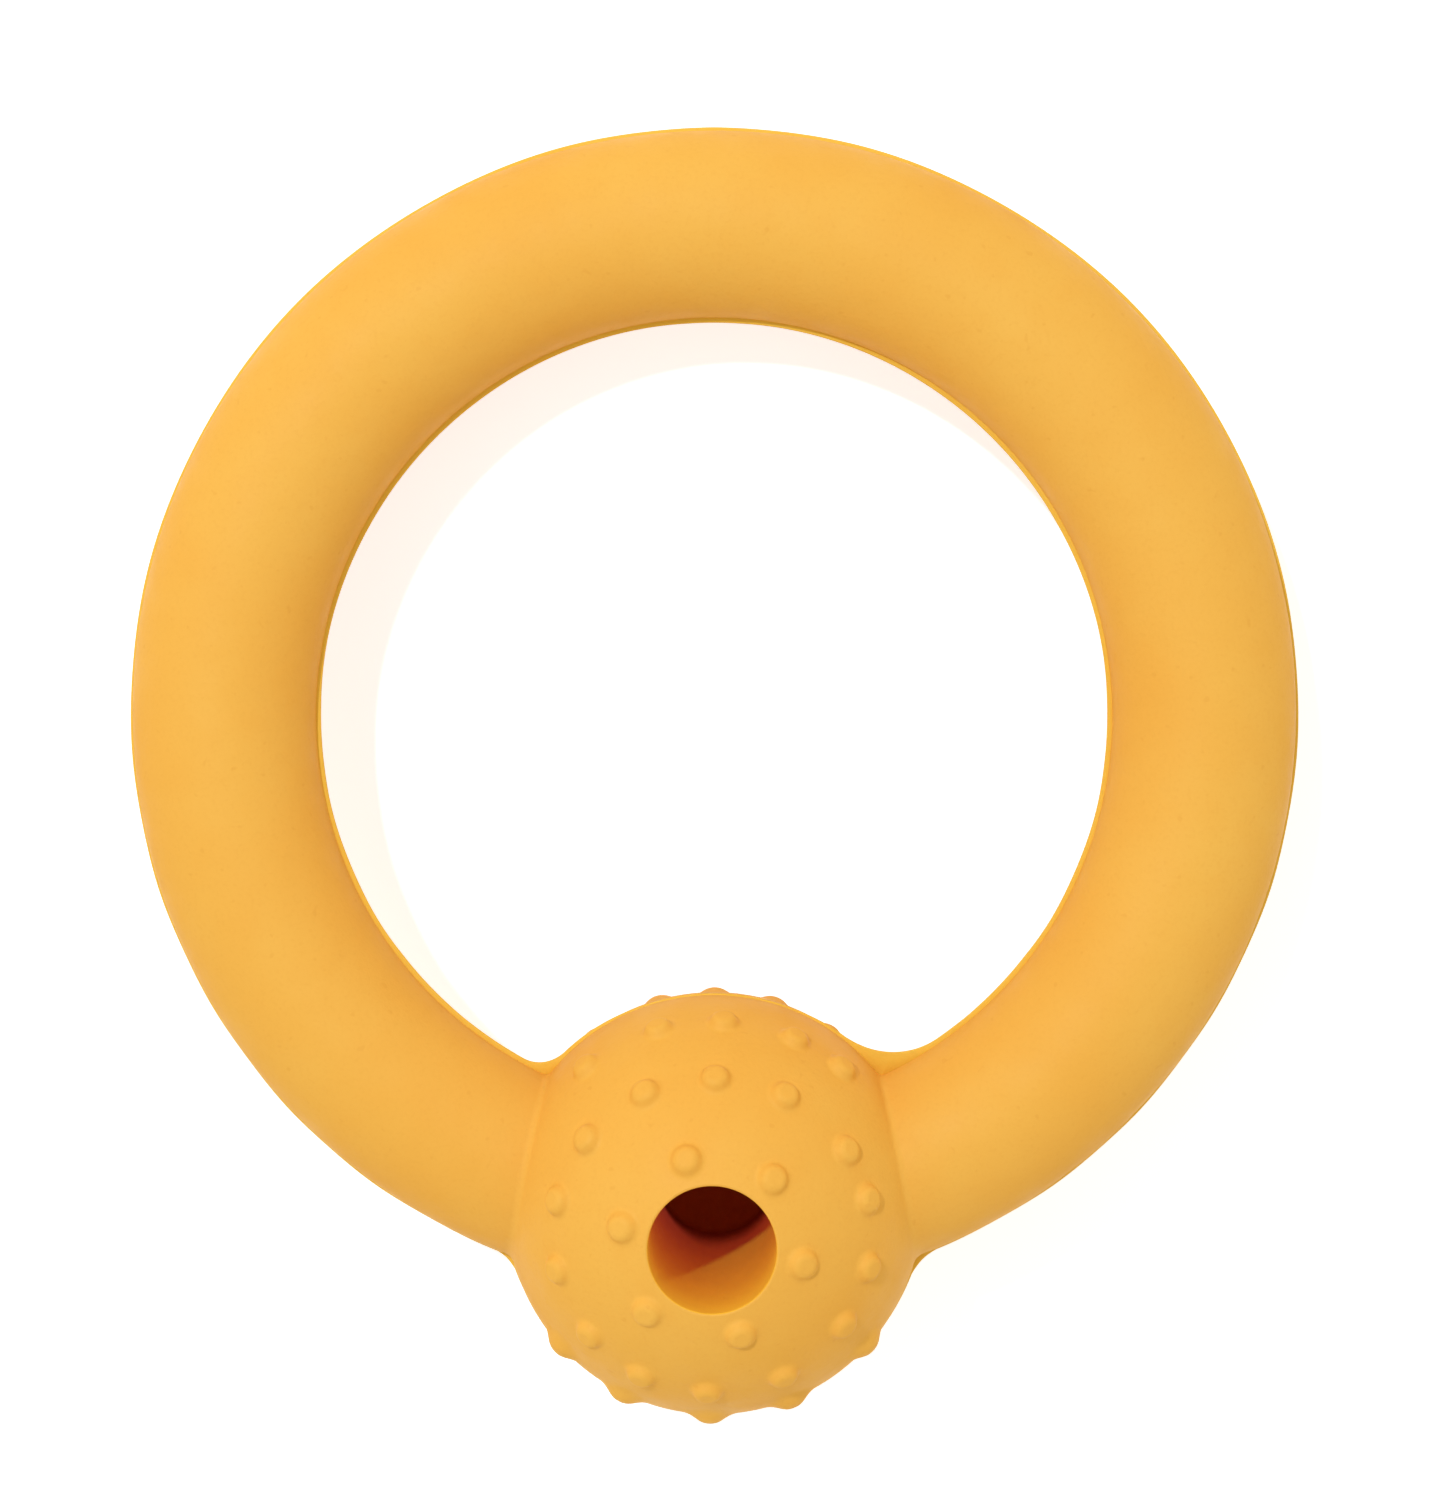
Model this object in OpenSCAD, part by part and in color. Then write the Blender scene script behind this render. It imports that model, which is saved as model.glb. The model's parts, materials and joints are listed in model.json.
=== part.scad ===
// Natural rubber chew ring for a dog. A solid round bar is bent into a ring and runs
// into a bigger ball, which has rows of small nubs and a blind bore for a treat.
// The toy is compression moulded in two plates, so it has a parting line all round.
// It lies here as it rests on a floor at z = 0: on the ball's bare underside and on
// the far side of the ring. The ball end points to -Y.

/* [Ring] */
// Diameter of the ring along the middle of its bar
ring_d = 134; // [116:1:180]
// Thickness of the round bar
bar_d = 25; // [20:0.5:30]

/* [Ball] */
// Diameter of the ball without its nubs
ball_d = 57.8; // [52:0.1:66]
// Length of bar beside the ball that is moulded with the ball
neck_len = 2.5; // [1:0.5:6]

/* [Treat bore] */
// Diameter of the bore
bore_d = 16.7; // [10:0.1:20]
// Depth of the bore, from its mouth to the tip of its domed end
bore_depth = 46; // [30:1:48]
// Height of the domed end
bore_dome_h = 3.4; // [1:0.1:5]
// Width of the broken edge at the mouth
mouth_break = 0.5; // [0.2:0.1:1.2]

/* [Nubs] */
// Width of a nub
nub_d = 3.9; // [3:0.1:4.5]
// Height of a nub above the ball
nub_h = 1.3; // [1.2:0.1:1.8]
// Radius of the edge round a nub's flat top
nub_edge_r = 1; // [0.4:0.1:1.2]
// Radius of the soft root round a nub
nub_root_r = 0.4; // [0.2:0.1:0.8]
// Bare strip between the mouth of the bore and the first row of nubs
mouth_strip_w = 0.8; // [0.5:0.1:3]
// Bare strip between the parting plane and the last row of nubs, to their middle
parting_strip_w = 10.9; // [7:0.1:13]
// Gap between the floor and the nubs under the ball
floor_gap = 0.1; // [0.1:0.1:1]

/* [Parting line] */
// How far the bead on the parting line stands proud
bead_h = 0.6; // [0.3:0.1:1]
// Thickness of the bead
bead_w = 1.2; // [0.8:0.1:2]
// Radius in plan of the web between ball and bar, inside the ring on the left
inner_left_web_r = 4.5; // [2:0.5:12]
// Radius in plan of the web between ball and bar, inside the ring on the right
inner_right_web_r = 10.5; // [2:0.5:12]
// Radius in plan of the web between ball and bar, outside the ring on the left
outer_left_web_r = 4; // [2:0.5:8]
// Radius in plan of the web between ball and bar, outside the ring on the right
outer_right_web_r = 6; // [2:0.5:8]

/* [Hidden] */
$fn = 96;
// Facets round a circle where thin roots and beads are trimmed to the ball and the bar
fine_facets = 256;
rubber = [0.96, 0.70, 0.30];

ring_r = ring_d / 2;
bar_r = bar_d / 2;
ball_r = ball_d / 2;
bore_r = bore_d / 2;
nub_r = nub_d / 2;

// How far a cutting solid runs past what it cuts
overrun = 1;
// How deep a nub's root is sunk under the ball before it is trimmed to the ball
root_sink = 0.05;
// How deep the arc of a root or a web is sunk in the edges that it joins
arc_sink = 0.02;

// The toy rests on the ball and on the far bar, so the ring's plane rises to the ball.
lie_tilt = asin((ball_r - bar_r) / ring_d);
ring_lift = bar_r + ring_r * sin(lie_tilt);
// Half of what the ball reaches further out than the bar does
ring_shift = (ball_r - bar_r) / 2;

// The crease where the bar leaves the ball is furthest round the ring on the bar's
// inner side. The ball's moulding ends a short neck past it.
crease_angle = turn_to(ring_r - bar_r, ball_r);
neck_angle = crease_angle + neck_len / ring_r * 180 / PI;

// Heights of the bore along its axis, from the ball's centre
mouth_z = sqrt(pow(ball_r, 2) - pow(bore_r, 2));
bore_tip_z = mouth_z - bore_depth;
bore_wall_z = bore_tip_z + bore_dome_h;
bore_dome_r = (pow(bore_r, 2) + pow(bore_dome_h, 2)) / (2 * bore_dome_h);

// A nub is a short post with a round edge and a concave root. On a low nub the root
// meets the round edge, which brings the root further in.
root_over_edge = max(0, nub_root_r + nub_edge_r - nub_h);
root_x = nub_r - nub_edge_r - arc_sink
    + sqrt(pow(nub_edge_r + nub_root_r, 2) - pow(root_over_edge, 2));
root_z = sqrt(pow(ball_r, 2) - pow(root_x, 2)) - root_sink;

// Furthest round the ball from straight down that a nub comes within that gap
edge_from_axis = [nub_r - nub_edge_r, ball_r + nub_h - nub_edge_r];
floor_turn = atan(edge_from_axis[0] / edge_from_axis[1])
    + acos((ball_r - floor_gap - nub_edge_r) / norm(edge_from_axis));

// Angles of the rows of nubs from the bore's axis. The rear's inner row is clear of the
// floor, the front's inner row is close to the mouth.
front_inner_row = asin((bore_r + mouth_break + mouth_strip_w + root_x) / ball_r);
rear_inner_row = lie_tilt + floor_turn;
outer_row = 90 - parting_strip_w / ball_r * 180 / PI;

// Angles of the nubs round the bore's axis, from +X. The mould is drilled by hand, so
// the steps differ a little. The outer row leaves the two sides free for the bar.
inner_nub_angles = [49, 106, 167, 225, 288, 350];
middle_nub_angles = [13.5, 33, 63, 89, 115, 142, 167, 192.5, 219, 243, 268, 296.5, 325.5,
                     348.5];
front_outer_nub_angles = [50, 66, 87, 106, 129.5, 220, 243, 269, 293, 320.5];
rear_outer_nub_angles = [53, 72, 90, 107, 129.5, 220, 243, 269, 293, 320.5];

// Outlines of the moulding in its parting plane, with the bead
outer_edge_r = ring_r + bar_r + bead_h;
inner_edge_r = ring_r - bar_r - bead_h;
ball_edge_r = ball_r + bead_h;

// Angle round the ring, from the ball's centre, at which a circle about the ring's
// centre and a circle about the ball's centre cross
function turn_to(about_ring_r, about_ball_r) =
    acos((pow(ring_r, 2) + pow(about_ring_r, 2) - pow(about_ball_r, 2))
         / (2 * ring_r * about_ring_r));

// Point in the parting plane at a distance from the ring's centre, turned from the ball
function ring_point(r, turn) = [r * sin(turn), -r * cos(turn)];

// Point that lies on the way from one point to another
function between(a, b, share) = a + (b - a) * share;

ball_centre = ring_point(ring_r, 0);

// Takes the moulding from its own plane to where it lies
module lie_down() {
    translate([0, ring_shift, ring_lift])
        rotate([-lie_tilt, 0, 0])
            children();
}

module at_ball() {
    translate([ball_centre[0], ball_centre[1], 0])
        children();
}

// Front half of the round bar, from one turn to another about the ring's axis
module half_bar(from_turn, to_turn) {
    rotate([0, 0, from_turn - 90])
        rotate_extrude(angle = to_turn - from_turn)
            translate([ring_r, 0])
                intersection() {
                    circle(r = bar_r);
                    translate([-bar_r, 0])
                        square([bar_d, bar_r]);
                }
}

module ring_half() {
    half_bar(neck_angle, 360 - neck_angle);
}

// Front half of the ball with a neck of bar on each side, before the bore is cut
module ball_half_blank() {
    at_ball()
        rotate_extrude()
            intersection() {
                circle(r = ball_r);
                square([ball_r, ball_r]);
            }
    half_bar(-neck_angle, neck_angle);
}

// The space of the treat bore: straight wall, domed end and broken edge
module treat_bore() {
    at_ball()
        rotate_extrude() {
            intersection() {
                translate([0, bore_tip_z + bore_dome_r])
                    circle(r = bore_dome_r);
                translate([0, bore_tip_z])
                    square([bore_r, bore_dome_h]);
            }
            translate([0, bore_wall_z])
                square([bore_r, ball_r - bore_wall_z + overrun]);
            polygon([
                [0, mouth_z - mouth_break],
                [bore_r, mouth_z - mouth_break],
                [bore_r + mouth_break + overrun, mouth_z + overrun],
                [0, mouth_z + overrun]
            ]);
        }
}

// One nub at the top of a ball that is centred on the origin, with a plug in the ball
module nub() {
    edge_x = nub_r - nub_edge_r;
    edge_z = ball_r + nub_h - nub_edge_r;
    rotate_extrude() {
        translate([0, root_z])
            square([edge_x, ball_r + nub_h - root_z]);
        translate([0, root_z])
            square([nub_r, edge_z - root_z]);
        intersection() {
            translate([edge_x, edge_z])
                circle(r = nub_edge_r);
            translate([0, root_z])
                square([root_x, ball_r + nub_h + overrun - root_z]);
        }
        difference() {
            translate([0, root_z - overrun])
                square([root_x, nub_root_r + overrun]);
            translate([root_x, root_z + nub_root_r])
                circle(r = nub_root_r);
        }
    }
}

module nub_row(row_angle, turns) {
    for (turn = turns)
        rotate([0, row_angle, turn])
            nub();
}

// A front half's three rows of nubs, trimmed to the ball that they stand on
module nub_field(inner_row, outer_turns) {
    at_ball()
        difference() {
            union() {
                nub_row(inner_row, inner_nub_angles);
                nub_row((inner_row + outer_row) / 2, middle_nub_angles);
                nub_row(outer_row, outer_turns);
            }
            sphere(r = ball_r, $fn = fine_facets);
        }
}

// Fills the corner in plan between the ball and an edge of the ring. outwards is 1 for
// the ring's outer edge and -1 for its inner edge.
module corner_web(edge_r, web_r, outwards) {
    reach = web_r - arc_sink;
    turn = turn_to(edge_r + outwards * reach, ball_edge_r + reach);
    centre = ring_point(edge_r + outwards * reach, turn);
    behind_edge_r = edge_r - outwards * overrun;
    difference() {
        polygon([
            centre,
            ring_point(behind_edge_r, turn),
            ring_point(behind_edge_r, turn_to(edge_r, ball_edge_r)),
            between(ball_centre, centre, (ball_edge_r - overrun) / (ball_edge_r + reach))
        ]);
        translate(centre)
            circle(r = web_r);
    }
}

// Fills that corner on both sides, each side with its own radius
module both_corner_webs(edge_r, left_web_r, right_web_r, outwards) {
    corner_web(edge_r, right_web_r, outwards);
    mirror([1, 0, 0])
        corner_web(edge_r, left_web_r, outwards);
}

// Cuts the bar and the ball out of a plate on the parting plane
module bead_from_plate() {
    difference() {
        linear_extrude(height = bead_w, center = true)
            children();
        rotate_extrude()
            translate([ring_r, 0])
                circle(r = bar_r);
        at_ball()
            sphere(r = ball_r);
    }
}

module ring_front_half() {
    color(rubber)
        lie_down()
            ring_half();
}

module ring_rear_half() {
    color(rubber)
        lie_down()
            mirror([0, 0, 1])
                ring_half();
}

module ball_front_half() {
    color(rubber)
        lie_down()
            difference() {
                ball_half_blank();
                treat_bore();
            }
}

module ball_rear_half() {
    color(rubber)
        lie_down()
            difference() {
                mirror([0, 0, 1])
                    ball_half_blank();
                treat_bore();
            }
}

module nubs_front() {
    color(rubber)
        lie_down()
            nub_field(front_inner_row, front_outer_nub_angles);
}

module nubs_rear() {
    color(rubber)
        lie_down()
            mirror([0, 0, 1])
                nub_field(rear_inner_row, rear_outer_nub_angles);
}

module outer_parting_bead() {
    color(rubber)
        lie_down()
            bead_from_plate($fn = fine_facets)
                difference() {
                    union() {
                        circle(r = outer_edge_r);
                        translate(ball_centre)
                            circle(r = ball_edge_r);
                        both_corner_webs(outer_edge_r, outer_left_web_r,
                                         outer_right_web_r, 1);
                    }
                    circle(r = ring_r);
                }
}

module inner_parting_bead() {
    color(rubber)
        lie_down()
            bead_from_plate($fn = fine_facets)
                difference() {
                    circle(r = ring_r);
                    difference() {
                        circle(r = inner_edge_r);
                        translate(ball_centre)
                            circle(r = ball_edge_r);
                        both_corner_webs(inner_edge_r, inner_left_web_r,
                                         inner_right_web_r, -1);
                    }
                }
}

ring_front_half();
ring_rear_half();
ball_front_half();
ball_rear_half();
nubs_front();
nubs_rear();
outer_parting_bead();
inner_parting_bead();
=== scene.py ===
"""Looks of a natural rubber chew ring with a nubbed treat ball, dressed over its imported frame.

The moulding's skin is one function of space: a bar bent to a ring, a ball with nubs, and soft
corners where they meet. Each piece is a grid that is laid on that skin and closed behind, on
the parting plane, so the pieces meet as the moulding's own regions do.
"""

import json
import math

import bmesh
import bpy
import numpy as np
from mathutils import Matrix, Vector


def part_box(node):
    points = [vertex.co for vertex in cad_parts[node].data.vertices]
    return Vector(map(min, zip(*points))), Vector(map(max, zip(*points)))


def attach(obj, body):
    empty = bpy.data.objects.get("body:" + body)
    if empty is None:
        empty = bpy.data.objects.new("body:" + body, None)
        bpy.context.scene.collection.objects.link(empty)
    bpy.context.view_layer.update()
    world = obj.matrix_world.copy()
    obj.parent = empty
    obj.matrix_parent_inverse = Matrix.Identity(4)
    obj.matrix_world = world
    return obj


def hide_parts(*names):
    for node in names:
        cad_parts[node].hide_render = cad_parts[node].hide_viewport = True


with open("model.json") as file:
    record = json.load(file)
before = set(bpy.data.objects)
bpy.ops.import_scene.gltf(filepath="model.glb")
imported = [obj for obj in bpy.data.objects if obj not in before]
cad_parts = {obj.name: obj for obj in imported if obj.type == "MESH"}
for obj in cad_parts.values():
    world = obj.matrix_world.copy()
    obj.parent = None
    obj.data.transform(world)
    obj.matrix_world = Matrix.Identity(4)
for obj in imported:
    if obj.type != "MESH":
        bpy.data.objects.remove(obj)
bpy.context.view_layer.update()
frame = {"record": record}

MM = 0.001

# Driving sizes, read from the frame
mounts = {m["name"]: m for m in frame["record"]["mounts"]}
bore = mounts["treat_bore"]
bore_axis = Vector(bore["axis"])
far_bar = Vector(mounts["ring_bar"]["pos_m"])
TILT = math.atan2(bore_axis.y, bore_axis.z)
BAR_R = far_bar.z
RING_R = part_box("ring_front_half")[1].x - BAR_R
BALL_R = BAR_R + 2 * RING_R * math.sin(TILT)
BORE_R = bore["dims"]["r_mm"] * MM
BEAD_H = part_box("outer_parting_bead")[1].x - RING_R - BAR_R

# The ring's own frame: its plane is z = 0, its centre the origin, the ball towards -Y
to_far_bar = Vector((0, math.cos(TILT), -math.sin(TILT)))
LIE = Matrix.Translation(far_bar - RING_R * to_far_bar) @ Matrix.Rotation(-TILT, 4, "X")
BALL_AT = np.array([0, -RING_R, 0])
bore_mid = (LIE.inverted() @ Vector(bore["pos_m"])).z
BORE_WALL_Z = bore_mid - bore["dims"]["length_mm"] * MM / 2

# Treat bore
MOUTH_ROUND = 0.3 * MM
BORE_DOME_H = 3.4 * MM
DOME_SHARES = (0.9, 0.75, 0.55, 0.3)

# Nubs: short posts with a round edge and a soft root, and the rows' angles from the bore's axis.
# Most of those beside the parting line are rubbed down, so they run out into wide flanks.
NUB_R, RUBBED_NUB_R = 1.9 * MM, 1.35 * MM
NUB_H, RUBBED_NUB_H = 1.25 * MM, 0.95 * MM
NUB_ROOT, RUBBED_NUB_ROOT = 0.9 * MM, 3 * MM
NUB_EDGE_R = 1.1 * MM
FRONT_ROWS = (24.5, 46.4, 68.4)
REAR_ROWS = (26.8, 47.6, 68.4)
INNER_NUBS = (49, 106, 167, 225, 288, 350)
MIDDLE_NUBS = (13.5, 33, 63, 89, 115, 142, 167, 192.5, 219, 243, 268, 296.5, 325.5, 348.5)
FRONT_OUTER_NUBS = (50, 66, 87, 106, 129.5, 220, 243, 269, 293, 320.5)
REAR_OUTER_NUBS = (53, 72, 90, 107, 129.5, 220, 243, 269, 293, 320.5)

# Soft corner between ball and bar, and how uneven the moulding is
CREASE_ROUND = 0.9 * MM
UNEVEN = 0.05 * MM
UNEVEN_FADE = 5 * MM

# Grids. Cells round the ring start narrow at a crease and grow, in degrees. The rear's last
# loops lie at the cap's angles from the axis, in degrees.
CREASE_CELLS = 96
TOP_ARC_CELLS = 144
BOTTOM_ARC_CELLS = 208
BALL_ROWS = 100
ROUND_CELLS = 6
FRONT_WALL_CELLS = 19
REAR_WALL_CELLS = 11
FIRST_TURN_CELL = 0.25
TURN_CELL_GROWTH = 1.12
WIDEST_TURN_CELL = 0.95
REAR_CAP_ANGLES = (14, 9, 5)
FINE_REACH = 3.1 * MM
SETTLE_STEPS = 8
LEAST_SLOPE = 0.25
PROBE = 0.01 * MM

# Parting line bead and the webs in its corners
BEAD_HALF_W = 0.6 * MM
BEAD_EDGE_R = 0.28 * MM
BEAD_EDGE_POINTS = 7
BEAD_SINK = 0.9 * MM
BEAD_STEP = 0.7 * MM
DEEP_TRIM_AT = np.array([3, 28.7, 0]) * MM
DEEP_TRIM_REACH = 12 * MM
INNER_WEB_RADII = (4.5 * MM, 10.5 * MM)
OUTER_WEB_RADII = (4 * MM, 6 * MM)

# Camera, fitted to the photograph's outlines
CAMERA_AT = (0.00383, 0.07875, 0.39869)
CAMERA_PITCH = -11.201
CAMERA_ROLL = 0.402
CAMERA_LENS = 67.32

# The rubber's tones: light, deep in its clouds and blotches, stained in its grain and specks
BODY_TONES = ("efb855", "edb04c", "e29f43")
BEAD_TONES = ("f0c450", "eebc46", "e2a83e")
CLOUD_SIZE = 28 * MM
BLOTCH_SIZE = 4.5 * MM
GRAIN_SIZE = 0.6 * MM
SPECK_SIZE = 1.1 * MM
SATIN_SIZE = 6 * MM
DIMPLE_SIZE = 3.5 * MM
DIMPLE_DEPTH = 0.12 * MM
GRAIN_DEPTH = 0.04 * MM

# The bore's painted light and shade. A deeper, more saturated wall tone is painted for how light
# falls inside the bore. A dark tone is painted towards the bore's end, where shade falls. A red
# painted glow stands in for the light that seeps through the rubber into its wall. The glow fades
# towards the bore's end, sooner on the side away from the lamp, where the painted shade reaches
# higher. Both looks run out between two depths under the bore's bottom.
BORE_WALL_TONE = "f0c024"
# Painted shade: the dark tone deep in the bore
BORE_PAINTED_SHADE_TONE = "84341e"
BORE_TONE_SHARE = 0.8
BORE_LOOKS_END = (4 * MM, 1 * MM)
LAMP_SIDE_END = -0.3 * BORE_R
# Painted glow in the bore's wall, and its strengths
PAINTED_GLOW_COLOUR = (1.0, 0.09, 0.1, 1.0)
SEEP_AT_MOUTH = 0.06
SEEP_AT_FOOT = 0.055
SEEP_AT_LAMP_SIDE_FOOT = 0.1
SEEP_FADE = 9 * MM
SEEP_LAMP_SIDE_FADE = 1 * MM

# Studio: a lamp above the upper left, a tent of soft light with a gap overhead, a pale floor
KEY_AT = (-0.249, 0.442, 0.858)
KEY_SIZE = 0.035
KEY_POWER = 3.8
KEY_COLOUR = (0.96, 1.0, 1.06)
TENT_COLOUR = (1.0, 0.943, 0.725, 1.0)
TENT_LIGHT = 0.965
TENT_GAP = (0.72, 0.97)
TENT_GAP_LIGHT = 0.1
LAMP_AIM = (0, 0, 0.02)
FLOOR_HALF = 3.0
FLOOR_TONE = "e6d2aa"
FLOOR_GLOW = 0.6
FLOOR_GLOW_COLOUR = (0.82, 0.88, 1.0, 1.0)


def unit(v):
    return v / np.linalg.norm(v, axis=-1, keepdims=True)


def flat_direction(azimuth):
    """Unit vectors in the parting plane, at angles in radians from +X."""
    azimuth = np.asarray(azimuth, float)
    return np.stack([np.cos(azimuth), np.sin(azimuth), 0 * azimuth], axis=-1)


def nub_places():
    """Directions from the ball's centre to its nubs, and the nubs' radii, heights and roots."""
    found = []
    front = (1, FRONT_ROWS, FRONT_OUTER_NUBS)
    rear = (-1, REAR_ROWS, REAR_OUTER_NUBS)
    for side, rows, outer in (front, rear):
        for row, turns in zip(rows, (INNER_NUBS, MIDDLE_NUBS, outer)):
            angle = math.radians(row)
            for turn, direction in zip(turns, flat_direction(np.radians(turns))):
                sizes = (NUB_R, NUB_H, NUB_ROOT)
                if turns is outer and (side < 0 or turn > 180):
                    sizes = (RUBBED_NUB_R, RUBBED_NUB_H, RUBBED_NUB_ROOT)
                direction = math.sin(angle) * direction + [0, 0, side * math.cos(angle)]
                found.append([*direction, *sizes])
    found = np.array(found)
    return found[:, :3], found[:, 3:]


NUBS, NUB_SIZES = nub_places()


def smooth_least(a, b, blend):
    """The lesser of two distances, with a soft corner where they are alike."""
    near = np.clip(1 - np.abs(a - b) / blend, 0, None)
    return np.minimum(a, b) - near * near * blend / 4


def unevenness(p):
    """How far the skin lies inside its true shape: long soft waves, none at the bore's mouth."""
    x, y, z = (p / MM).T
    waves = (
        np.sin(x / 7.1 + 1.3) * np.sin(y / 8.3 + 0.4)
        + 0.6 * np.sin(y / 4.7 + z / 5.9 + 2.2)
        + 0.4 * np.sin(x / 3.9 - z / 4.4 + 0.7)
    )
    from_bore = np.hypot(p[:, 0], p[:, 1] + RING_R) - BORE_R
    fade = np.clip(from_bore / UNEVEN_FADE, 0, 1)
    return UNEVEN * fade * (0.5 + waves / 4)


def skin(p):
    """Signed distance, near enough, from points to the moulding's skin."""
    bar = np.hypot(np.hypot(p[:, 0], p[:, 1]) - RING_R, p[:, 2]) - BAR_R
    q = p - BALL_AT
    nearest = np.argmax(q @ NUBS.T, axis=1)
    axis = NUBS[nearest]
    nub_r, nub_h, nub_root = NUB_SIZES[nearest].T
    up = np.sum(q * axis, axis=1)
    beside = np.linalg.norm(q - up[:, None] * axis, axis=1) - nub_r + NUB_EDGE_R
    above = up - BALL_R - nub_h + NUB_EDGE_R
    nub = np.hypot(np.maximum(beside, 0), np.maximum(above, 0)) - NUB_EDGE_R
    nub = nub + np.minimum(np.maximum(beside, above), 0)
    ball = smooth_least(np.linalg.norm(q, axis=1) - BALL_R, nub, nub_root)
    return smooth_least(ball, bar, CREASE_ROUND) + unevenness(p)


def slopes(p):
    """The skin function's gradient, which is the skin's outward normal."""
    steps = PROBE * np.eye(3)
    return unit(np.stack([skin(p + s) - skin(p - s) for s in steps], axis=-1))


def settle(p, direction):
    """Moves points along their directions until they lie on the skin."""
    for _ in range(SETTLE_STEPS):
        here = skin(p)
        slope = (skin(p + PROBE * direction) - here) / PROBE
        p = p - (here / np.maximum(slope, LEAST_SLOPE))[:, None] * direction
    return p


class Skin:
    """Points, normals and faces of a piece. A hidden face closes the piece inside the moulding."""

    def __init__(self):
        self.points = np.zeros((0, 3))
        self.normals = np.zeros((0, 3))
        self.faces = []
        self.hidden = []

    def add(self, points, normals=None):
        first = len(self.points)
        if normals is None:
            normals = np.zeros_like(points)
        self.points = np.vstack([self.points, points])
        self.normals = np.vstack([self.normals, normals])
        return list(range(first, first + len(points)))

    def face(self, corners, hidden=False):
        corners = [c for n, c in enumerate(corners) if c != corners[n - 1]]
        if len(set(corners)) > 2:
            self.faces.append(corners)
            self.hidden.append(hidden)

    def strip(self, a, b, hidden=False, closed=True):
        """Faces between two lines of points, the second as many as the first, half as many, or one."""
        count = len(a) if closed else len(a) - 1
        for n in range(count):
            a0, a1 = a[n], a[(n + 1) % len(a)]
            if len(b) == len(a):
                self.face([a0, a1, b[(n + 1) % len(b)], b[n]], hidden)
            elif len(b) == 1:
                self.face([a0, a1, b[0]], hidden)
            elif n % 2 == 0:
                self.face([a0, a1, b[n // 2]], hidden)
            else:
                before, after = b[n // 2], b[(n // 2 + 1) % len(b)]
                self.face([a0, after, before], hidden)
                self.face([a0, a1, after], hidden)

    def make(self, name, material, *nodes):
        """The piece as an object in place of its nodes."""
        mesh = bpy.data.meshes.new(name)
        world = np.array(LIE)
        mesh.from_pydata((self.points @ world[:3, :3].T + world[:3, 3]).tolist(), [], self.faces)
        mesh.polygons.foreach_set("use_smooth", [not h for h in self.hidden])
        work = bmesh.new()
        work.from_mesh(mesh)
        bmesh.ops.recalc_face_normals(work, faces=work.faces)
        work.to_mesh(mesh)
        work.free()
        if self.normals.any():
            outward = self.normals @ world[:3, :3].T
            corners = np.zeros((len(mesh.loops), 3))
            for polygon in mesh.polygons:
                if polygon.use_smooth:
                    first = polygon.loop_start
                    corners[first : first + polygon.loop_total] = outward[list(polygon.vertices)]
            mesh.normals_split_custom_set(corners.tolist())
        mesh.materials.append(material)
        piece = bpy.data.objects.new(name, mesh)
        bpy.context.scene.collection.objects.link(piece)
        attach(piece, "root")
        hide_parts(*nodes)
        return piece


def crease_turn(section):
    """Angle round the ring at which the bar enters the ball, for angles round the bar's section."""
    out = RING_R + BAR_R * np.cos(section)
    z = BAR_R * np.sin(section)
    return np.arccos((out**2 + RING_R**2 + z**2 - BALL_R**2) / (2 * out * RING_R))


def bar_points(section, turn, side):
    """Points on the bar's true surface and the directions that lead out of the bar there."""
    out = RING_R + BAR_R * np.cos(section)
    along = np.stack([np.sin(turn), -np.cos(turn), 0 * turn], axis=-1)
    points = out[..., None] * along + (side * BAR_R * np.sin(section))[..., None] * [0, 0, 1]
    lead = np.cos(section)[..., None] * along + (side * np.sin(section))[..., None] * [0, 0, 1]
    return points, lead


def crease_line(side):
    """The right-hand crease between bar and ball, settled, from the ring's outside to its inside.
    Both pieces that meet there start from it."""
    section = np.linspace(0, math.pi, CREASE_CELLS + 1)
    points, _ = bar_points(section, crease_turn(section), side)
    points = settle(points, slopes(points))
    points[[0, -1], 2] = 0
    return points


def turn_steps():
    """Shares of the way round the ring from crease to crease, close together at the creases."""
    steps = [FIRST_TURN_CELL]
    while sum(steps) < 180:
        steps.append(min(steps[-1] * TURN_CELL_GROWTH, WIDEST_TURN_CELL))
    half = np.cumsum([0] + steps)
    half = half / half[-1] / 2
    return np.concatenate([half, 1 - half[-2::-1]])


def ring_half(name, side, material, node):
    """Half the bar, from crease to crease, closed on the parting plane and at both ends."""
    piece = Skin()
    section = np.linspace(0, math.pi, CREASE_CELLS + 1)[None, :]
    crease = crease_line(side)
    first = np.arctan2(crease[:, 0], -crease[:, 1])
    turn = first + (2 * math.pi - 2 * first) * turn_steps()[:, None]
    start, lead = bar_points(section + 0 * turn, turn, side)
    shape = start.shape
    points = settle(start.reshape(-1, 3), lead.reshape(-1, 3)).reshape(shape)
    points[0] = crease
    points[-1] = crease * [-1, 1, 1]
    points[:, [0, -1], 2] = 0
    flat = points.reshape(-1, 3)
    rows = np.array(piece.add(flat, slopes(flat))).reshape(shape[:2])
    for a, b in zip(rows[:-1], rows[1:]):
        piece.strip(list(a), list(b), closed=False)
        piece.face([a[0], a[-1], b[-1], b[0]], hidden=True)
    middle = CREASE_CELLS // 2
    for end in (rows[0], rows[-1]):
        piece.strip(list(end[: middle + 1]), list(end[: middle - 1 : -1]), hidden=True, closed=False)
    return piece.make(name, material, node)


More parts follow.
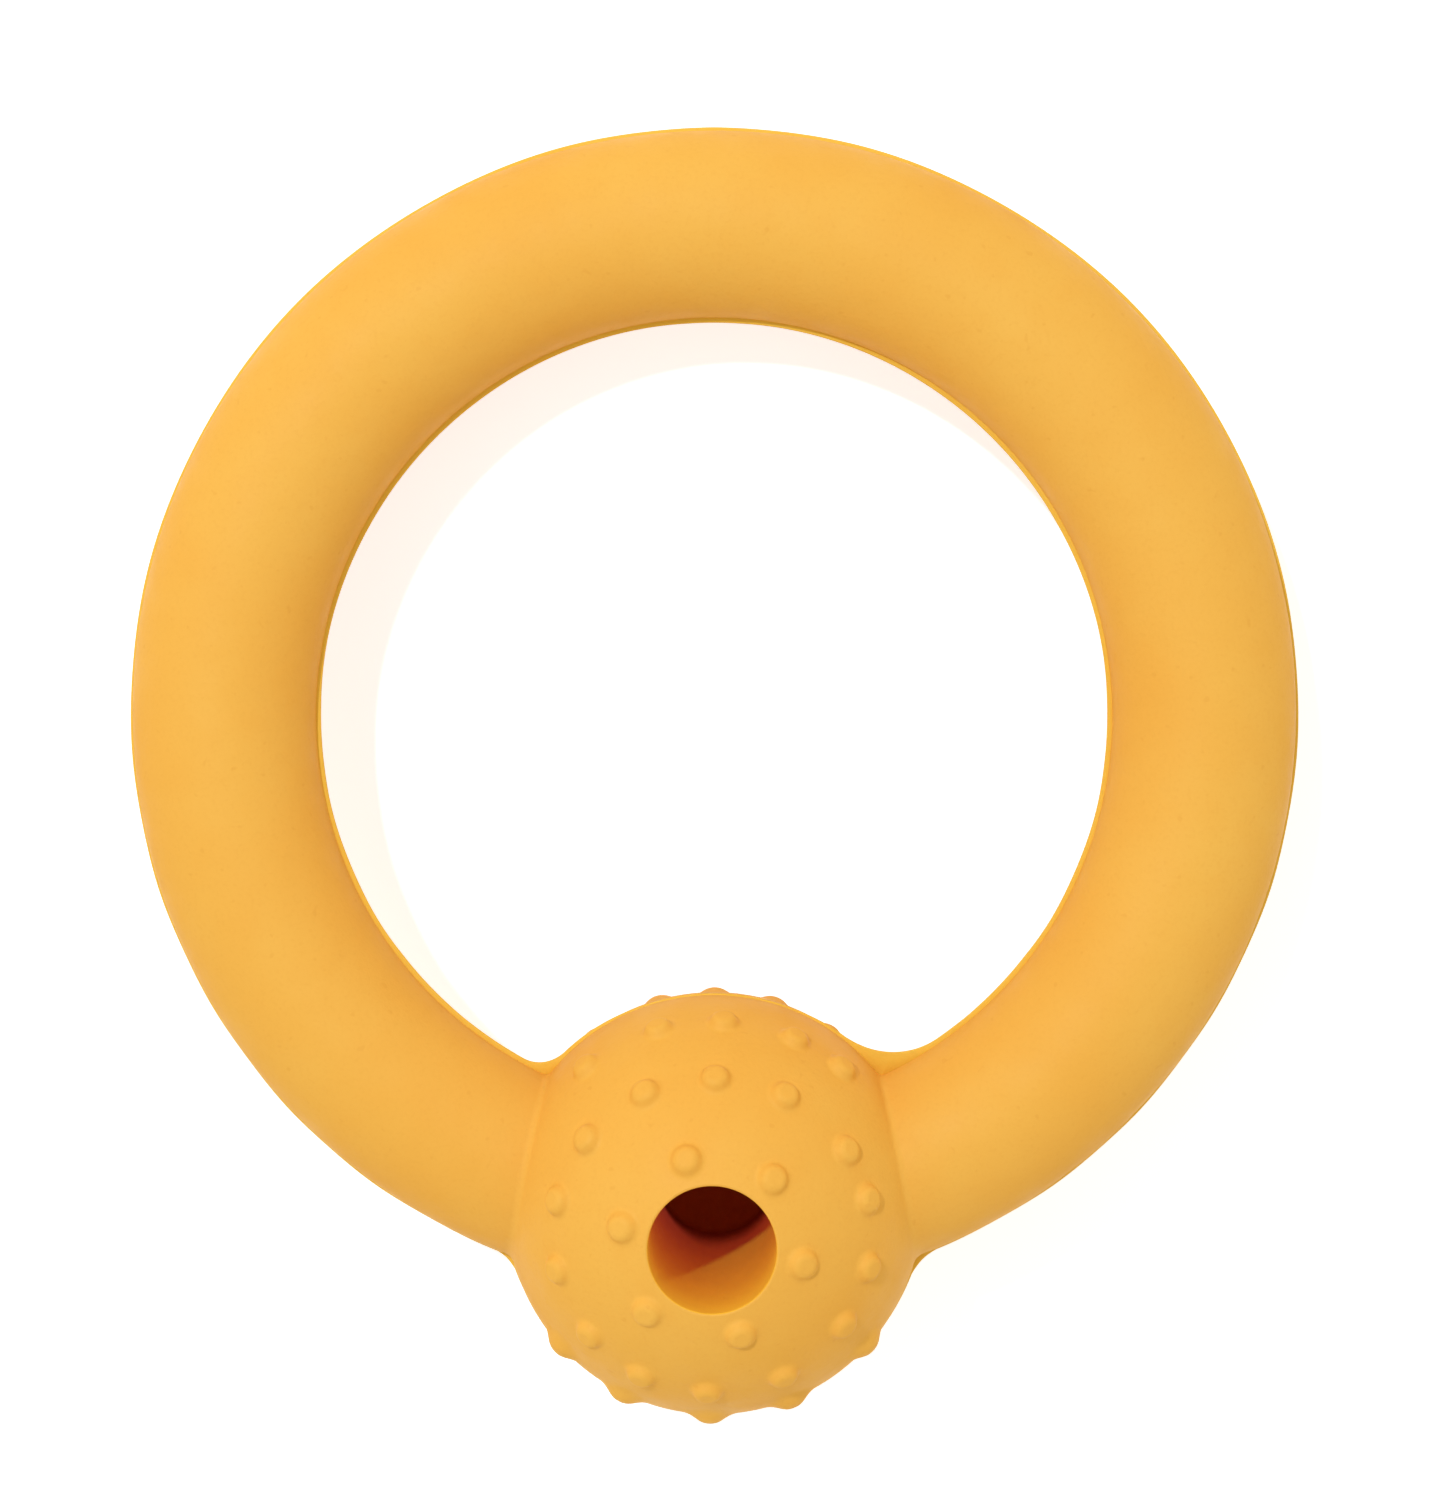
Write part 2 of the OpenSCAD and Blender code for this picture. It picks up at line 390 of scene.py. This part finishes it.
def ball_outline(side):
    """Loop of points round a half of the ball: crease, top arc, crease and bottom arc."""
    right = crease_line(side) - BALL_AT
    inner = math.atan2(right[-1, 1], right[-1, 0])
    outer = math.atan2(right[0, 1], right[0, 0])
    top = np.linspace(inner, math.pi - inner, TOP_ARC_CELLS + 1)
    bottom = np.linspace(math.pi - outer, 2 * math.pi + outer, BOTTOM_ARC_CELLS + 1)
    left = right[::-1] * [-1, 1, 1]
    return np.vstack(
        [
            right[:-1],
            BALL_R * flat_direction(top[:-1]),
            left[:-1],
            BALL_R * flat_direction(bottom[:-1]),
        ]
    )


def slerp(a, b, share):
    """Directions a share of the way along the arcs from a to b."""
    angle = np.arccos(np.clip(np.sum(a * b, axis=-1), -1, 1))[..., None]
    share = share[..., None]
    return (np.sin((1 - share) * angle) * a + np.sin(share * angle) * b) / np.sin(angle)


def lattice(columns, rows, fine):
    """A grid that closes on itself round its columns, as keys in half cells and faces. A cell marked
    fine is split in four, and its coarse neighbours take in the middle points of their edges."""
    keys, faces = {}, []

    def key(i, j):
        return keys.setdefault((i % (2 * columns), j), len(keys))

    for a in range(columns):
        right = (a + 1) % columns
        for b in range(rows):
            i, j = 2 * a, 2 * b
            if fine[a, b]:
                for di, dj in ((0, 0), (1, 0), (1, 1), (0, 1)):
                    m, n = i + di, j + dj
                    faces.append([key(m, n), key(m + 1, n), key(m + 1, n + 1), key(m, n + 1)])
                continue
            corners = [key(i, j)]
            if b > 0 and fine[a, b - 1]:
                corners.append(key(i + 1, j))
            corners.append(key(i + 2, j))
            if fine[right, b]:
                corners.append(key(i + 2, j + 1))
            corners.append(key(i + 2, j + 2))
            if b < rows - 1 and fine[a, b + 1]:
                corners.append(key(i + 1, j + 2))
            corners.append(key(i, j + 2))
            if fine[a - 1, b]:
                corners.append(key(i, j + 1))
            faces.append(corners)
    return keys, faces


def column_turns(points):
    """Angles of columns round the bore's axis, half way between the points' own and even ones."""
    own = np.unwrap(np.arctan2(points[:, 1], points[:, 0]))
    even = own[0] + 2 * math.pi * np.arange(len(own)) / len(own)
    return (own + even) / 2


def ball_skin(piece, side, end_angle):
    """Lays the ball's skin from its outline up to a circle round the bore's axis. Returns the
    points of both ends and the azimuths of the columns there."""
    outline = ball_outline(side)
    count = len(outline)
    rim = unit(outline)
    azimuth = column_turns(outline)
    tip = math.sin(end_angle) * flat_direction(azimuth) + [0, 0, side * math.cos(end_angle)]

    def direction(i, j):
        low, share = i // 2, (i % 2)[:, None] / 2
        high = (low + 1) % count
        a = unit((1 - share) * rim[low] + share * rim[high])
        b = unit((1 - share) * tip[low] + share * tip[high])
        return slerp(a, b, j / (2 * BALL_ROWS))

    i, j = np.meshgrid(2 * np.arange(count) + 1, 2 * np.arange(BALL_ROWS) + 1, indexing="ij")
    middles = direction(i.ravel() % (2 * count), j.ravel())
    gap = BALL_R * np.arccos(np.clip(np.max(middles @ NUBS.T, axis=1), -1, 1))
    fine = (gap < FINE_REACH).reshape(count, BALL_ROWS)
    fine[:, [0, -1]] = False
    keys, faces = lattice(count, BALL_ROWS, fine)
    i, j = np.array(list(keys)).T
    lead = direction(i, j)
    points = settle(BALL_AT + BALL_R * lead, lead)
    for n, (m, row) in enumerate(zip(i, j)):
        column = m // 2
        if row == 0 and outline[column, 2] == 0:
            points[n, 2] = 0
        elif row == 0:
            points[n] = BALL_AT + outline[column]
    ids = piece.add(points, slopes(points))
    for corners in faces:
        piece.face([ids[c] for c in corners])
    base = [ids[keys[(2 * n, 0)]] for n in range(count)]
    end = [ids[keys[(2 * n, 2 * BALL_ROWS)]] for n in range(count)]
    return base, end, azimuth


def add_circle(piece, azimuth, place, normal, loop=None):
    """Adds a circle of points round the bore's axis, with faces to it from the loop before.
    Place and normal are each a pair: out from the axis and up along it."""
    around = flat_direction(azimuth)
    points = BALL_AT + place[0] * around + [0, 0, place[1]]
    circle = piece.add(points, normal[0] * around + [0, 0, normal[1]])
    if loop:
        piece.strip(loop, circle)
    return circle


def close_on_parting_plane(piece, base, wall):
    """Closes half a ball: inside the bar at each crease, then across the parting plane."""
    count = len(base)
    hidden = list(base)
    for first in (0, CREASE_CELLS + TOP_ARC_CELLS):
        for n in range(first + 1, first + CREASE_CELLS):
            point = piece.points[base[n % count]] * [1, 1, 0]
            hidden[n % count] = piece.add(point[None])[0]
    piece.strip(base, hidden, hidden=True)
    piece.strip(hidden, wall, hidden=True)


def ball_front(material):
    """The ball's front half: nubs, the bore's lip, and its wall down to the parting plane."""
    piece = Skin()
    round_z = math.sqrt((BALL_R - MOUTH_ROUND) ** 2 - (BORE_R + MOUTH_ROUND) ** 2)
    rim_angle = math.atan2(BORE_R + MOUTH_ROUND, round_z)
    base, loop, azimuth = ball_skin(piece, 1, rim_angle)
    for angle in np.linspace(rim_angle, -math.pi / 2, ROUND_CELLS + 1)[1:]:
        out, up = math.sin(angle), math.cos(angle)
        place = (BORE_R + MOUTH_ROUND * (1 + out), round_z + MOUTH_ROUND * up)
        loop = add_circle(piece, azimuth, place, (out, up), loop)
    azimuth = azimuth[::2]
    for share in np.linspace(0, 1, FRONT_WALL_CELLS + 1)[1:]:
        loop = add_circle(piece, azimuth, (BORE_R, round_z * (1 - share**1.5)), (-1, 0), loop)
    close_on_parting_plane(piece, base, loop)
    return piece.make("ball_front", material, "ball_front_half", "nubs_front")


def ball_rear(material):
    """The ball's rear half: nubs, the rest of the bore's wall, and its dome."""
    piece = Skin()
    cap_angles = np.radians(REAR_CAP_ANGLES)
    base, loop, azimuth = ball_skin(piece, -1, cap_angles[0])
    for angle in cap_angles[1:]:
        azimuth = azimuth[::2]
        lead = math.sin(angle) * flat_direction(azimuth) - [0, 0, math.cos(angle)]
        points = settle(BALL_AT + BALL_R * lead, lead)
        following = piece.add(points, slopes(points))
        piece.strip(loop, following)
        loop = following
    lead = np.array([[0, 0, -1.0]])
    points = settle(BALL_AT + BALL_R * lead, lead)
    piece.strip(loop, piece.add(points, slopes(points)))

    azimuth = column_turns(piece.points[base] - BALL_AT)[::2]
    wall = loop = add_circle(piece, azimuth, (BORE_R, 0), (-1, 0))
    for z in np.linspace(0, BORE_WALL_Z, REAR_WALL_CELLS + 1)[1:]:
        loop = add_circle(piece, azimuth, (BORE_R, z), (-1, 0), loop)
    dome_r = (BORE_R**2 + BORE_DOME_H**2) / (2 * BORE_DOME_H)
    dome_z = BORE_WALL_Z - BORE_DOME_H + dome_r
    edge = math.asin(BORE_R / dome_r)
    for share in DOME_SHARES:
        out, up = math.sin(edge * share), math.cos(edge * share)
        place = (dome_r * out, dome_z - dome_r * up)
        loop = add_circle(piece, azimuth, place, (-out, up), loop)
    tip = BALL_AT + [[0, 0, dome_z - dome_r]]
    piece.strip(loop, piece.add(tip, np.array([[0, 0, 1.0]])))
    close_on_parting_plane(piece, base, wall)
    return piece.make("ball_rear", material, "ball_rear_half", "nubs_rear")


def bead_height(place):
    """How far the trimmed bead stands proud at points along it: wavy, as a knife leaves it, and
    low where the knife went deep, on the ball's side that faces the ring's opening."""
    x, y, _ = (place / MM).T
    waves = np.sin(x / 9 + 0.8) * np.sin(y / 11 + 2.1) + 0.5 * np.sin((x + y) / 3.7)
    deep = np.exp(-np.sum((place - BALL_AT - DEEP_TRIM_AT) ** 2, axis=1) / DEEP_TRIM_REACH**2)
    return BEAD_H * np.clip(0.9 + 0.15 * waves - 0.6 * deep, 0.3, 1)


def web_centre(edge_r, web_r, outwards):
    """Centre of a web's arc, on the right, and its turn round the ring from the ball."""
    r, reach = edge_r + outwards * web_r, BALL_R + BEAD_H + web_r
    turn = math.acos((RING_R**2 + r**2 - reach**2) / (2 * RING_R * r))
    return np.array([r * math.sin(turn), -r * math.cos(turn), 0]), turn


def bead_path(edge_r, web_r, outwards):
    """The bead's edge and its root in the moulding, from the far bar to the ball's middle line."""
    centre, turn = web_centre(edge_r, web_r, outwards)
    to_ball = math.atan2(*(BALL_AT - centre)[[1, 0]])
    to_ring = turn - math.pi / 2 + (math.pi if outwards > 0 else 0)
    swing = (to_ball - to_ring + math.pi) % (2 * math.pi) - math.pi
    ball_angle = math.atan2(*(centre - BALL_AT)[[1, 0]])
    ball_end = -math.pi / 2 if outwards > 0 else math.pi / 2

    def cells(length):
        return max(int(abs(length) / BEAD_STEP), 6)

    bar_turns = np.linspace(math.pi, turn, cells((math.pi - turn) * edge_r) + 1)
    on_bar = flat_direction(bar_turns - math.pi / 2)
    web = flat_direction(np.linspace(to_ring, to_ring + swing, cells(4 * swing * web_r) + 1))[1:-1]
    ball_turns = np.linspace(ball_angle, ball_end, cells((ball_angle - ball_end) * BALL_R) + 1)
    on_ball = flat_direction(ball_turns)

    proud = edge_r - outwards * BEAD_H
    bar_edge = (proud + outwards * bead_height(proud * on_bar))[:, None] * on_bar
    ball_edge = BALL_AT + (BALL_R + bead_height(BALL_AT + BALL_R * on_ball))[:, None] * on_ball
    web_edge = centre + web_r * web
    blend = np.linspace(0, 1, len(web) + 2)[1:-1, None]
    web_edge += (1 - blend) ** 6 * (bar_edge[-1] - centre - web_r * flat_direction(to_ring))
    web_edge += blend**6 * (ball_edge[0] - centre - web_r * flat_direction(to_ring + swing))

    bar_root = (proud - outwards * BEAD_SINK) * on_bar
    ball_root = BALL_AT + (BALL_R - BEAD_SINK) * on_ball
    section = 0.0 if outwards > 0 else math.pi
    corner_turn = crease_turn(np.array([section]))[0]
    corner = (RING_R + outwards * BAR_R) * flat_direction(corner_turn - math.pi / 2)
    corner = corner + BEAD_SINK * unit(bar_root[-1] - bar_edge[-1] + ball_root[0] - ball_edge[0])
    early = np.clip(2 * blend, 0, 1)
    late = np.clip(2 * blend - 1, 0, 1)
    web_root = np.where(
        blend < 0.5,
        (1 - early) * bar_root[-1] + early * corner,
        (1 - late) * corner + late * ball_root[0],
    )
    return (
        np.vstack([bar_edge, web_edge, ball_edge]),
        np.vstack([bar_root, web_root, ball_root]),
    )


def bead(name, edge_r, web_radii, outwards, material, node):
    """A bead all round one side of the parting line, with a round edge and its root inside."""
    piece = Skin()
    left, right = (bead_path(edge_r, web_r, outwards) for web_r in web_radii)
    edge, root = (np.vstack([r, l[-2:0:-1] * [-1, 1, 1]]) for l, r in zip(left, right))
    across = edge - root
    width = np.linalg.norm(across, axis=1, keepdims=True)
    across = across / width
    up = np.array([0, 0, 1.0])
    section = []
    for angle in np.linspace(-math.pi / 2, math.pi / 2, BEAD_EDGE_POINTS):
        out = edge - BEAD_EDGE_R * across * (1 - math.cos(angle))
        section.append(out + BEAD_EDGE_R * math.sin(angle) * up)
    section.append(root + BEAD_HALF_W * up)
    section.append(root - BEAD_HALF_W * up)
    loops = [piece.add(np.array([line[n] for line in section])) for n in range(len(edge))]
    for n, loop in enumerate(loops):
        piece.strip(loops[n - 1], loop)
    return piece.make(name, material, node)


def colour(hex_code):
    """Scene-linear colour from the display colour it shows as."""
    parts = [int(hex_code[n : n + 2], 16) / 255 for n in (0, 2, 4)]
    return [c / 12.92 if c <= 0.04045 else ((c + 0.055) / 1.055) ** 2.4 for c in parts] + [1]


class Nodes:
    """Short calls for the nodes of a material or a world."""

    def __init__(self, owner):
        owner.use_nodes = True
        self.owner = owner
        self.tree = owner.node_tree
        self.tree.nodes.clear()

    def add(self, kind, inputs=None, **settings):
        node = self.tree.nodes.new(kind)
        for key, value in settings.items():
            setattr(node, key, value)
        for key, value in (inputs or {}).items():
            if isinstance(value, bpy.types.NodeSocket):
                self.tree.links.new(value, node.inputs[key])
            else:
                node.inputs[key].default_value = value
        return node

    def noise(self, place, size, detail=2.0, roughness=0.5):
        """Noise whose blotches are about that many metres across."""
        made = self.add(
            "ShaderNodeTexNoise",
            {"Vector": place, "Scale": 1 / size, "Detail": detail, "Roughness": roughness},
        )
        return made.outputs["Fac"]

    def ramp(self, value, low, high, to_low=0.0, to_high=1.0, kind="LINEAR"):
        made = self.add(
            "ShaderNodeMapRange",
            {"Value": value, "From Min": low, "From Max": high, "To Min": to_low, "To Max": to_high},
            interpolation_type=kind,
        )
        return made.outputs["Result"]

    def math(self, operation, *values):
        return self.add("ShaderNodeMath", dict(enumerate(values)), operation=operation).outputs[0]

    def blend(self, share, a, b):
        """One shader or the other, by share."""
        return self.add("ShaderNodeMixShader", {0: share, 1: a, 2: b}).outputs[0]

    def mix(self, share, a, b):
        made = self.add("ShaderNodeMix", data_type="RGBA")
        for socket, value in zip((made.inputs[0], made.inputs[6], made.inputs[7]), (share, a, b)):
            if isinstance(value, bpy.types.NodeSocket):
                self.tree.links.new(value, socket)
            else:
                socket.default_value = value
        return made.outputs[2]

    def bump(self, height, distance, strength=1.0, normal=None):
        inputs = {"Height": height, "Distance": distance, "Strength": strength}
        if normal is not None:
            inputs["Normal"] = normal
        return self.add("ShaderNodeBump", inputs).outputs["Normal"]

    def surface(self, shader):
        self.add("ShaderNodeOutputMaterial", {"Surface": shader})
        return self.owner


def bore_looks(nodes, place, tone):
    """The tone with painted light and shade in the bore, and a painted glow there that stands in for
    light seeping through the rubber.
    """
    offset = nodes.add("ShaderNodeVectorMath", {0: place, 1: bore["pos_m"]}, operation="SUBTRACT")
    offset = offset.outputs[0]
    side = nodes.add("ShaderNodeSeparateXYZ", {0: offset}).outputs["X"]
    up = nodes.add("ShaderNodeVectorMath", {0: offset, 1: bore["axis"]}, operation="DOT_PRODUCT")
    up = up.outputs["Value"]
    across = nodes.add("ShaderNodeVectorMath", {0: offset, 1: bore["axis"]}, operation="CROSS_PRODUCT")
    out = nodes.add("ShaderNodeVectorMath", {0: across.outputs[0]}, operation="LENGTH")
    half_wall = bore["dims"]["length_mm"] * MM / 2
    bottom = -half_wall - BORE_DOME_H
    inside = nodes.ramp(out.outputs["Value"], BORE_R, BORE_R + MOUTH_ROUND / 2, 1.0, 0.0)
    end, full = BORE_LOOKS_END
    inside = nodes.math("MULTIPLY", inside, nodes.ramp(up, bottom - end, bottom - full))
    fade_ends = (SEEP_LAMP_SIDE_FADE - half_wall, SEEP_FADE - half_wall)
    fade = nodes.ramp(side, -BORE_R, LAMP_SIDE_END, *fade_ends)
    on_wall = nodes.ramp(up, -half_wall, fade, kind="SMOOTHSTEP")
    # Painted shade: the dark end tone deep in the bore gives way to the painted wall tone up the wall
    painted_bore_tone = nodes.mix(on_wall, colour(BORE_PAINTED_SHADE_TONE), colour(BORE_WALL_TONE))
    # Painted glow, stronger at the foot on the lamp's side, fading towards the bore's end
    at_foot = nodes.ramp(side, -BORE_R, LAMP_SIDE_END, SEEP_AT_LAMP_SIDE_FOOT, SEEP_AT_FOOT)
    painted_glow = nodes.ramp(up, -half_wall, half_wall, at_foot, SEEP_AT_MOUTH)
    painted_glow = nodes.math("MULTIPLY", painted_glow, on_wall)
    tone = nodes.mix(nodes.math("MULTIPLY", inside, BORE_TONE_SHARE), tone, painted_bore_tone)
    return tone, nodes.math("MULTIPLY", inside, painted_glow)


def rubber(name, light, deep, stain):
    """Natural rubber from a blasted mould: warm, satin and slightly clouded, with painted light, shade
    and glow in the bore.
    """
    nodes = Nodes(bpy.data.materials.new(name))
    place = nodes.add("ShaderNodeTexCoord").outputs["Object"]
    cloud = nodes.noise(place, CLOUD_SIZE, 3.0, 0.55)
    blotch = nodes.noise(place, BLOTCH_SIZE, 3.0, 0.6)
    grain = nodes.noise(place, GRAIN_SIZE, 2.0, 0.6)
    speck = nodes.noise(place, SPECK_SIZE, 0.0)
    tone = nodes.mix(nodes.ramp(cloud, 0.3, 0.7), colour(light), colour(deep))
    tone = nodes.mix(nodes.ramp(blotch, 0.45, 0.75, 0, 0.3), tone, colour(deep))
    tone = nodes.mix(nodes.ramp(grain, 0.5, 0.8, 0, 0.2), tone, colour(stain))
    tone = nodes.mix(nodes.ramp(speck, 0.78, 0.86, 0, 0.3), tone, colour(stain))
    # Painted light and shade in the bore's tone, and a painted glow there
    tone, painted_glow = bore_looks(nodes, place, tone)
    rough = nodes.ramp(nodes.noise(place, SATIN_SIZE, 4.0, 0.65), 0.3, 0.7, 0.5, 0.66)
    skin_bump = nodes.bump(nodes.noise(place, DIMPLE_SIZE, 2.0), DIMPLE_DEPTH)
    skin_bump = nodes.bump(grain, GRAIN_DEPTH, normal=skin_bump)
    # The emission is the painted glow in the bore
    shader = nodes.add(
        "ShaderNodeBsdfPrincipled",
        {
            "Base Color": tone,
            "Roughness": rough,
            "IOR": 1.45,
            "Specular IOR Level": 0.2,
            "Emission Color": PAINTED_GLOW_COLOUR,
            "Emission Strength": painted_glow,
            "Normal": skin_bump,
        },
    )
    return nodes.surface(shader.outputs["BSDF"])


def floor_material():
    """Pale floor that the camera sees white, except in the object's shadow."""
    nodes = Nodes(bpy.data.materials.new("pale_floor"))
    ray = nodes.add("ShaderNodeLightPath").outputs
    seen = nodes.math("MAXIMUM", ray["Is Camera Ray"], ray["Is Glossy Ray"])
    plain = nodes.add("ShaderNodeBsdfDiffuse", {"Color": colour(FLOOR_TONE)}).outputs[0]
    white = nodes.add("ShaderNodeBsdfDiffuse", {"Color": colour("ffffff")}).outputs[0]
    glow = nodes.add("ShaderNodeEmission", {"Color": FLOOR_GLOW_COLOUR, "Strength": FLOOR_GLOW})
    bright = nodes.add("ShaderNodeAddShader", {0: white, 1: glow.outputs[0]}).outputs[0]
    return nodes.surface(nodes.blend(seen, plain, bright))


def make_floor():
    mesh = bpy.data.meshes.new("floor")
    signs = ((-1, -1), (1, -1), (1, 1), (-1, 1))
    mesh.from_pydata([(FLOOR_HALF * x, FLOOR_HALF * y, 0) for x, y in signs], [], [(0, 1, 2, 3)])
    mesh.materials.append(floor_material())
    floor = bpy.data.objects.new("floor", mesh)
    bpy.context.scene.collection.objects.link(floor)


def make_world():
    """A light tent with a gap overhead. The camera itself sees it white."""
    world = bpy.data.worlds.new("light_tent")
    bpy.context.scene.world = world
    nodes = Nodes(world)
    way = nodes.add("ShaderNodeTexCoord").outputs["Generated"]
    up = nodes.add("ShaderNodeSeparateXYZ", {0: way}).outputs["Z"]
    gap = nodes.ramp(up, *TENT_GAP, 1.0, TENT_GAP_LIGHT, "SMOOTHSTEP")
    strength = nodes.math("MULTIPLY", gap, TENT_LIGHT)
    light = nodes.add("ShaderNodeBackground", {"Color": TENT_COLOUR, "Strength": strength})
    white = nodes.add("ShaderNodeBackground", {"Color": colour("ffffff"), "Strength": 1.0})
    seen = nodes.add("ShaderNodeLightPath").outputs["Is Camera Ray"]
    both = nodes.blend(seen, light.outputs[0], white.outputs[0])
    nodes.add("ShaderNodeOutputWorld", {"Surface": both})


def softbox(name, place, size, power, tint):
    """A square lamp that faces the toy."""
    lamp = bpy.data.lights.new(name, "AREA")
    lamp.size = size
    lamp.energy = power
    lamp.color = tint
    made = bpy.data.objects.new(name, lamp)
    made.location = place
    aim = Vector(LAMP_AIM) - Vector(place)
    made.rotation_euler = aim.to_track_quat("-Z", "Y").to_euler()
    bpy.context.scene.collection.objects.link(made)


def make_camera():
    camera = bpy.data.cameras.new("camera")
    camera.sensor_fit = "VERTICAL"
    camera.sensor_height = 36
    camera.lens = CAMERA_LENS
    camera.clip_start = 0.01
    made = bpy.data.objects.new("camera", camera)
    turn = Matrix.Rotation(math.radians(CAMERA_PITCH), 4, "X")
    roll = Matrix.Rotation(math.radians(CAMERA_ROLL), 4, "Y")
    made.matrix_world = Matrix.Translation(CAMERA_AT) @ turn @ roll
    bpy.context.scene.collection.objects.link(made)
    bpy.context.scene.camera = made


make_camera()
body_rubber = rubber("natural_rubber", *BODY_TONES)
bead_rubber = rubber("bead_rubber", *BEAD_TONES)
ring_half("ring_front", 1, body_rubber, "ring_front_half")
ring_half("ring_rear", -1, body_rubber, "ring_rear_half")
ball_front(body_rubber)
ball_rear(body_rubber)
outer_edge = RING_R + BAR_R + BEAD_H
inner_edge = RING_R - BAR_R - BEAD_H
bead("outer_bead", outer_edge, OUTER_WEB_RADII, 1, bead_rubber, "outer_parting_bead")
bead("inner_bead", inner_edge, INNER_WEB_RADII, -1, bead_rubber, "inner_parting_bead")
make_floor()
make_world()
softbox("key", KEY_AT, KEY_SIZE, KEY_POWER, KEY_COLOUR)

scene = bpy.context.scene
scene.view_settings.view_transform = "Standard"
